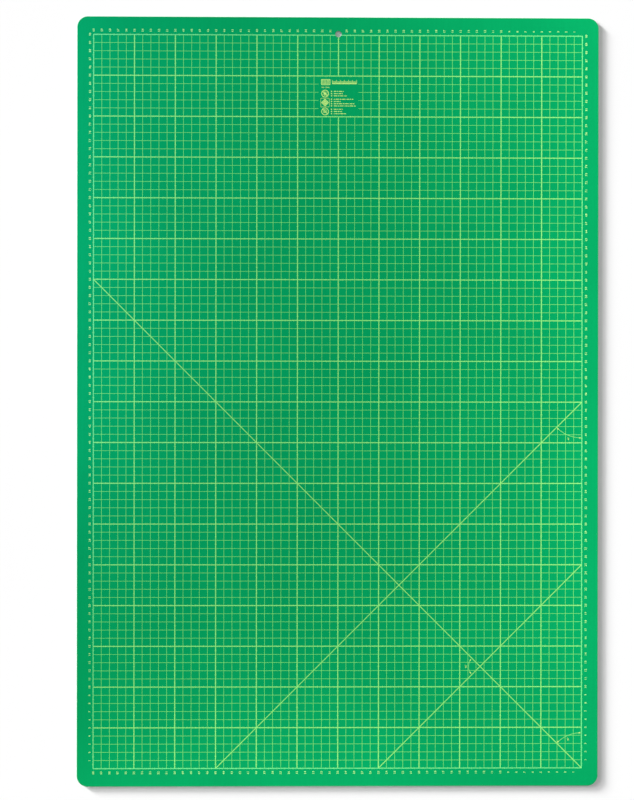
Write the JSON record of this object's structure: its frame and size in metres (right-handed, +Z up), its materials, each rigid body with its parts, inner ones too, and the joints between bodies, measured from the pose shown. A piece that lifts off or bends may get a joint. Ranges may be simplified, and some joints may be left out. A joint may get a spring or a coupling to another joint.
{
  "type": "self-healing cutting mat",
  "caption": "Flat rectangular green layered PVC cutting mat with rounded corners, a hanging hole and a printed centimetre grid with angle guide lines.",
  "frame": {"origin": "middle of the underside", "axes": "+Z up out of the printed face, +Y along the length towards the hanging hole, +X across the width towards the grid's zero side"},
  "size_m": [0.64, 0.944, 0.003],
  "materials": {
    "green_pvc": "matt fine-grained soft PVC",
    "core_pvc": "plain rigid PVC, seen only at the edge and in the hole",
    "tie_film": "thin bonding film",
    "ink": "matt screen-printed ink"
  },
  "bodies": {
    "root": {"back_cutting_layer": "green_pvc", "back_tie_film": "tie_film", "rigid_core": "core_pvc", "front_tie_film": "tie_film", "front_cutting_layer": "green_pvc", "border_line": "ink", "border_ticks": "ink", "scale_numerals": "ink", "five_centimetre_lines": "ink", "one_centimetre_lines": "ink", "angle_guide_lines": "ink", "angle_arcs": "ink", "label_badge": "ink", "label_title_bar": "ink", "label_icons": "ink", "label_note_bars": "ink"}
  },
  "joints": []
}
